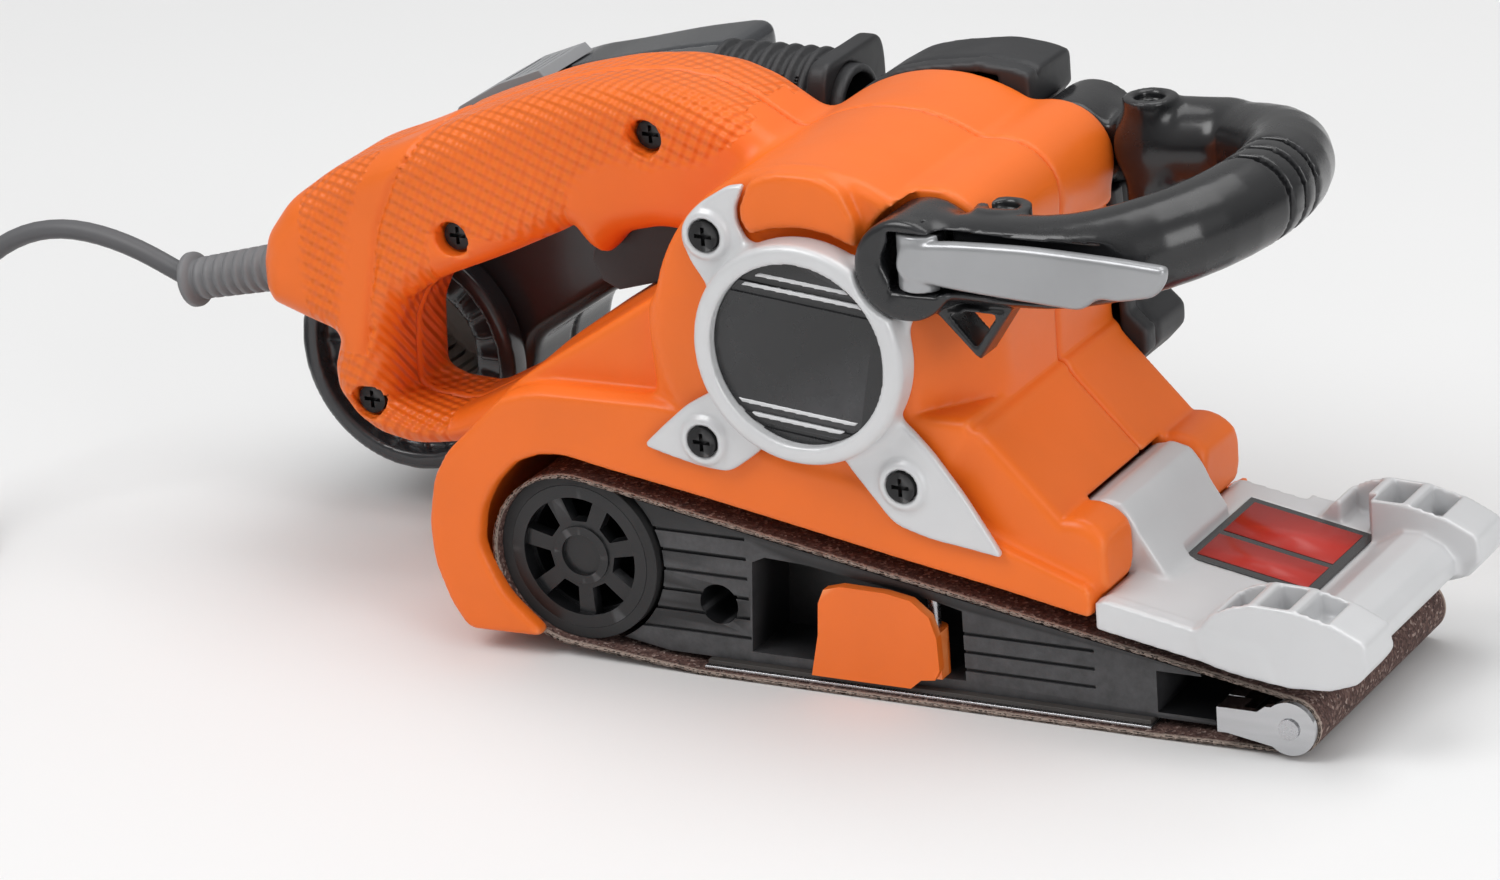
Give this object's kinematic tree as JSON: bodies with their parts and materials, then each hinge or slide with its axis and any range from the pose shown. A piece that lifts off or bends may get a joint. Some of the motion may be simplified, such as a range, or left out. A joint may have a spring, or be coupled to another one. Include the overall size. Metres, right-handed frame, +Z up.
{
  "type": "handheld belt sander",
  "caption": "Handheld belt sander with rear pistol-bar handle, tilting front grip, hinged nose cover, belt tension lever and side dust canister.",
  "frame": {"origin": "centre of the flat sanding face, on the surface being sanded", "axes": "+X towards the nose, -Y is the side the sanding belt slides off, +Z up"},
  "size_m": [0.4708, 0.1692, 0.1338],
  "materials": {
    "abrasive": "aluminium oxide grit on cloth",
    "black_plastic": "fine spark-eroded texture",
    "black_steel": "black oxide",
    "brass": "sheet brass",
    "carbon": "carbon",
    "cast_aluminium": "die cast",
    "chrome_plate": "nickel-chrome plate",
    "copper": "enamelled copper",
    "cord_grey": "PVC sheath, satin",
    "filter_pleats": "pleated filter cloth",
    "graphite_pad": "graphite cloth over cork",
    "grey_plastic": "satin",
    "grip_black": "semi-gloss moulding",
    "label_print": "printed film",
    "lamination": "stacked laminations",
    "lever_grey": "grey metallic",
    "orange_plastic": "satin fine-textured moulding",
    "rubber_black": "moulded rubber",
    "silver_plastic": "silver paint, satin",
    "smoked_plastic": "smoked, semi-transparent",
    "steel": "bright drawn"
  },
  "bodies": {
    "root": {"housing_near": "orange_plastic", "housing_far": "orange_plastic", "housing_screws": "black_steel", "drive_cover": "black_plastic", "cover_screws": "black_steel", "end_shield": "silver_plastic", "end_shield_badge": "black_plastic", "end_shield_screws": "black_steel", "stator_core": "lamination", "field_coils": "copper", "motor_bearings": "steel", "motor_end_plate": "cast_aluminium", "brush_holders": "brass", "carbon_brushes": "carbon", "drive_belt": "rubber_black", "roller_bearings": "steel", "roller_bearing_carrier": "cast_aluminium", "sanding_belt": "abrasive", "platen_frame": "black_plastic", "platen_pad": "graphite_pad", "platen_plate": "steel", "tension_spring": "steel", "tension_lever_pin": "steel", "nose_hinge_pin": "steel", "front_handle_bolt": "steel", "front_handle_nut": "steel", "trigger_pin": "steel", "trigger_spring": "steel", "switch_unit": "black_plastic", "strain_relief": "cord_grey", "power_cord": "cord_grey", "cord_coil": "cord_grey", "mains_plug": "grip_black"},
    "armature": {"armature_core": "lamination", "armature_coils": "copper", "commutator": "copper", "motor_shaft": "steel", "cooling_fan": "black_plastic", "motor_pulley": "steel"},
    "drive_roller": {"roller_shaft": "steel", "drive_roller_hub": "black_plastic", "drive_roller_tyre": "rubber_black", "drive_pulley": "black_plastic"},
    "yoke": {"tension_yoke": "chrome_plate", "front_axle": "steel"},
    "front_roller": {"front_roller": "steel"},
    "tension_lever": {"tension_lever": "orange_plastic"},
    "tracking_knob": {"tracking_knob": "black_plastic"},
    "nose_cover": {"nose_cover": "silver_plastic", "nose_label": "label_print"},
    "front_handle": {"front_handle": "grip_black", "clamp_lever_pin": "steel"},
    "clamp_lever": {"clamp_lever": "lever_grey"},
    "trigger": {"trigger": "black_plastic"},
    "lock_button": {"lock_button": "black_plastic"},
    "dust_canister": {"canister_body": "smoked_plastic", "canister_rim": "smoked_plastic", "canister_filter": "filter_pleats", "canister_neck": "black_plastic", "canister_vent": "grey_plastic"}
  },
  "joints": [
    {"name": "motor_spin", "type": "hinge", "parent": "root", "child": "armature", "pos_m": [-0.02, 0, 0.087], "axis": [0, 1, 0], "continuous": true},
    {"name": "drive_roller_spin", "type": "hinge", "parent": "root", "child": "drive_roller", "pos_m": [-0.09, 0, 0.02475], "axis": [0, 1, 0], "continuous": true},
    {"name": "tension_lever_swing", "type": "hinge", "parent": "root", "child": "tension_lever", "pos_m": [0.0015, -0.031, 0.012], "axis": [0, 0, 1], "range_deg": [0, 70]},
    {"name": "yoke_slide", "type": "slide", "parent": "root", "child": "yoke", "axis": [1, 0, 0], "range_m": [-0.006, 0]},
    {"name": "front_roller_spin", "type": "hinge", "parent": "yoke", "child": "front_roller", "pos_m": [0.0932, 0, 0.0077], "axis": [0, 1, 0], "continuous": true},
    {"name": "tracking_adjust", "type": "hinge", "parent": "root", "child": "tracking_knob", "pos_m": [0.062, 0.045, 0.016], "axis": [0, 1, 0], "range_deg": [-180, 180]},
    {"name": "nose_cover_open", "type": "hinge", "parent": "root", "child": "nose_cover", "pos_m": [0.041, 0, 0.041], "axis": [0, -1, 0], "range_deg": [0, 60]},
    {"name": "front_handle_tilt", "type": "hinge", "parent": "root", "child": "front_handle", "pos_m": [0.008, 0, 0.111], "axis": [0, -1, 0], "range_deg": [0, 60]},
    {"name": "clamp_lever_swing", "type": "hinge", "parent": "front_handle", "child": "clamp_lever", "pos_m": [0.011, -0.0445, 0.113], "axis": [0, 0, -1], "range_deg": [0, 100]},
    {"name": "trigger_pull", "type": "hinge", "parent": "root", "child": "trigger", "pos_m": [-0.072, 0.009, 0.104], "axis": [0, 1, 0], "range_deg": [0, 6], "stiffness_Nm_per_rad": 0.8, "springref_deg": -2.86},
    {"name": "lock_button_press", "type": "slide", "parent": "root", "child": "lock_button", "axis": [0, -1, 0], "range_m": [0, 0.0025], "stiffness_N_per_m": 400, "springref_m": -0.001},
    {"name": "canister_pull_off", "type": "slide", "parent": "root", "child": "dust_canister", "axis": [-1, 0, 0], "range_m": [0, 0.03]}
  ],
  "couplings": [
    {"joint": "drive_roller_spin", "follows": "motor_spin", "ratio": 0.3249},
    {"joint": "front_roller_spin", "follows": "motor_spin", "ratio": 1.0948},
    {"joint": "tension_lever_swing", "follows": "yoke_slide", "rad_per_m": -203}
  ]
}
